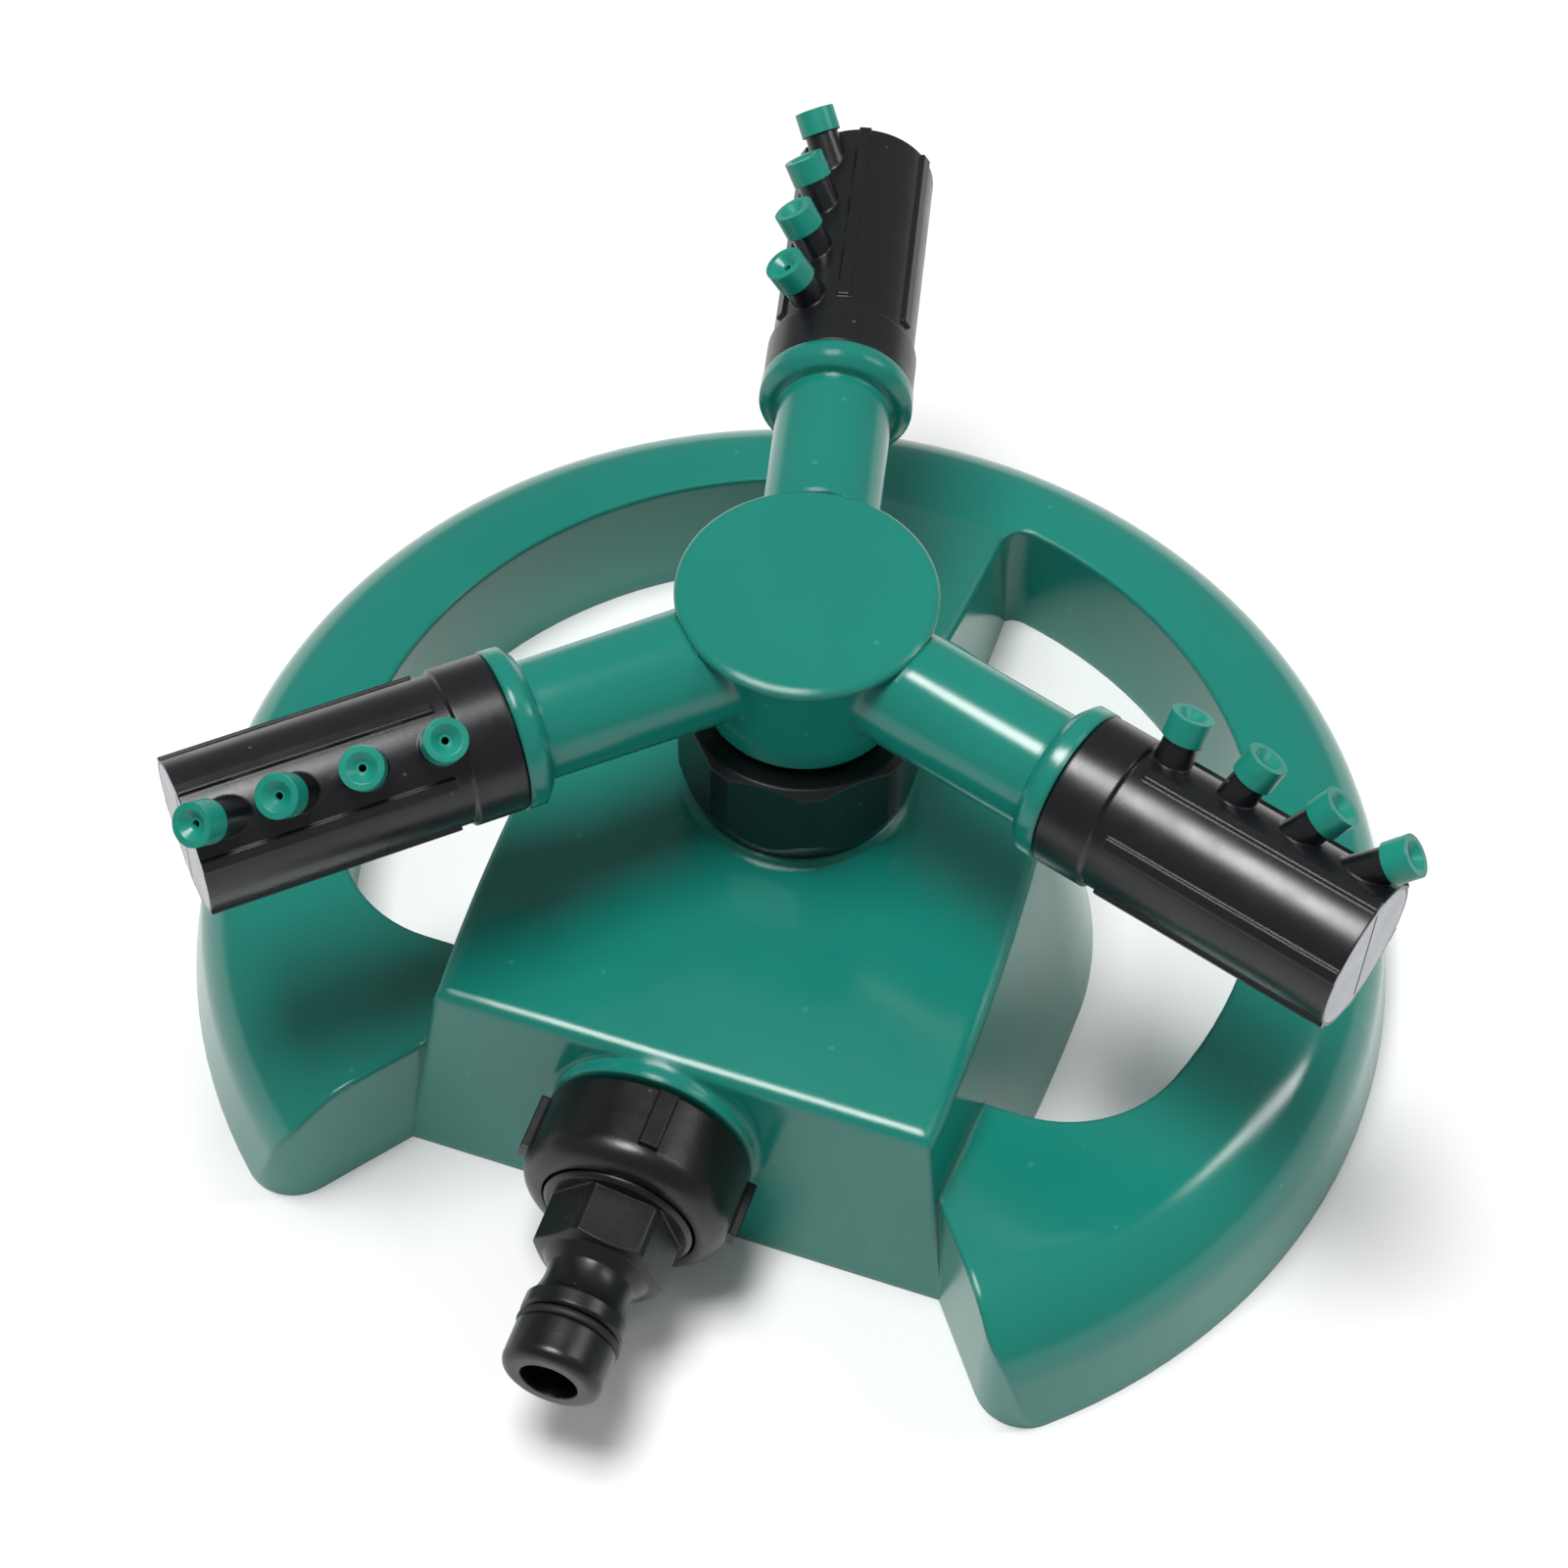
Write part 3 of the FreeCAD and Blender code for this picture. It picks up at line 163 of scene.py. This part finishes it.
# acetal tips: a satin green a shade lighter than the base
greenAcetal = mouldedPlastic("satinGreenAcetal", {
    "edgeMm": 0.25, "colour": "#128776", "shade": "#0f7e6e", "cloudMm": 5,
    "roughness": (0.26, 0.38), "patchMm": 3,
    "waveMm": 6, "waveDepthMm": 0.05, "grainMm": 0.5, "grainDepthMm": 0.008, "ior": 1.48,
    "dustMm": 4, "dust": 0.2, "dustColour": "#5fa596"})
# ABS discs in pale grey
greyAbs = mouldedPlastic("satinGreyAbs", {
    "edgeMm": 0.3, "colour": "#a9adb4", "shade": "#9fa3aa", "cloudMm": 8,
    "roughness": (0.25, 0.35), "patchMm": 5,
    "waveMm": 14, "waveDepthMm": 0.04, "grainMm": 0.8, "grainDepthMm": 0.006, "ior": 1.5,
    "dustMm": 6, "dust": 0.3, "dustColour": "#7b7e84"})
# nitrile rubber seals: matt black
nitrile = mouldedPlastic("mouldedNitrile", {
    "edgeMm": 0.2, "colour": "#0f0f10", "shade": "#0c0c0d", "cloudMm": 3,
    "roughness": (0.5, 0.65), "patchMm": 2,
    "waveMm": 5, "waveDepthMm": 0.02, "grainMm": 0.3, "grainDepthMm": 0.006, "ior": 1.52,
    "dustMm": 3, "dust": 0.3, "dustColour": "#4b4b4d"})
# nylon washers: milky white
nylon = mouldedPlastic("mouldedNylon", {
    "edgeMm": 0.2, "colour": "#dcdad2", "shade": "#d3d1c8", "cloudMm": 4,
    "roughness": (0.35, 0.45), "patchMm": 3,
    "waveMm": 6, "waveDepthMm": 0.02, "grainMm": 0.5, "grainDepthMm": 0.004, "ior": 1.53,
    "dustMm": 4, "dust": 0.2, "dustColour": "#a9a79f"})
slotMaterial = {
    "green_gloss_moulding": greenAbs, "black_gloss_moulding": blackAbs,
    "black_connector_moulding": blackPolypropylene, "green_tip_moulding": greenAcetal,
    "grey_disc_moulding": greyAbs, "black_seal_rubber": nitrile, "white_washer_nylon": nylon,
}
print("materials made:", len(slotMaterial))

# every CAD piece is shown as it is, in the material of its slot
slotOf = {entry["node"]: entry["material_slot"] for entry in frame["record"]["subparts"]}
for node, piece in frame["nodes"].items():
    piece.data.materials.clear()
    piece.data.materials.append(slotMaterial[slotOf[node]])
print("nodes finished:", len(frame["nodes"]))

# a pale paper floor, just under the feet
floorPlan = {"halfWidth": 6, "drop": 0.05 * mm, "colour": "#f7f7f7", "roughness": 0.7}
# a white tent with a large soft box overhead and a narrow one behind on the right; sizes in metres
studioPlan = {
    "tentColour": "#ffffff", "tentStrength": 0.28,
    "aim": (0, 0, 0.04),
    "lamps": {
        "topBox": {"place": (-0.15, -0.08, 1.1), "size": (0.4, 0.4), "watts": 11},
        "sideBox": {"place": (0.7, 0.35, 0.8), "size": (0.1, 0.5), "watts": 2},
    },
}


def paleFloor(plan):
    bm = bmesh.new()
    bmesh.ops.create_grid(bm, x_segments=1, y_segments=1, size=plan["halfWidth"])
    mesh = bpy.data.meshes.new("floor")
    bm.to_mesh(mesh)
    bm.free()
    floor = bpy.data.objects.new("floor", mesh)
    floor.location.z = -plan["drop"]
    paper = bpy.data.materials.new("matPaper")
    paper.use_nodes = True
    shader = paper.node_tree.nodes["Principled BSDF"]
    shader.inputs["Base Color"].default_value = fromHex(plan["colour"])
    shader.inputs["Roughness"].default_value = plan["roughness"]
    mesh.materials.append(paper)
    scene.collection.objects.link(floor)


def softLamp(name, plan, aim):
    lamp = bpy.data.lights.new(name, "AREA")
    lamp.shape, lamp.energy = "RECTANGLE", plan["watts"]
    lamp.size, lamp.size_y = plan["size"]
    box = bpy.data.objects.new(name, lamp)
    box.location = plan["place"]
    box.rotation_mode = "QUATERNION"
    box.rotation_quaternion = (Vector(aim) - Vector(plan["place"])).to_track_quat("-Z", "Y")
    scene.collection.objects.link(box)


def studio(plan):
    world = bpy.data.worlds.new("whiteTent")
    scene.world = world
    world.use_nodes = True
    tent = world.node_tree.nodes["Background"]
    tent.inputs["Color"].default_value = fromHex(plan["tentColour"])
    tent.inputs["Strength"].default_value = plan["tentStrength"]
    for name, lamp in plan["lamps"].items():
        softLamp(name, lamp, plan["aim"])


paleFloor(floorPlan)
studio(studioPlan)
scene.view_settings.view_transform = "Standard"
print("floor and light ready")
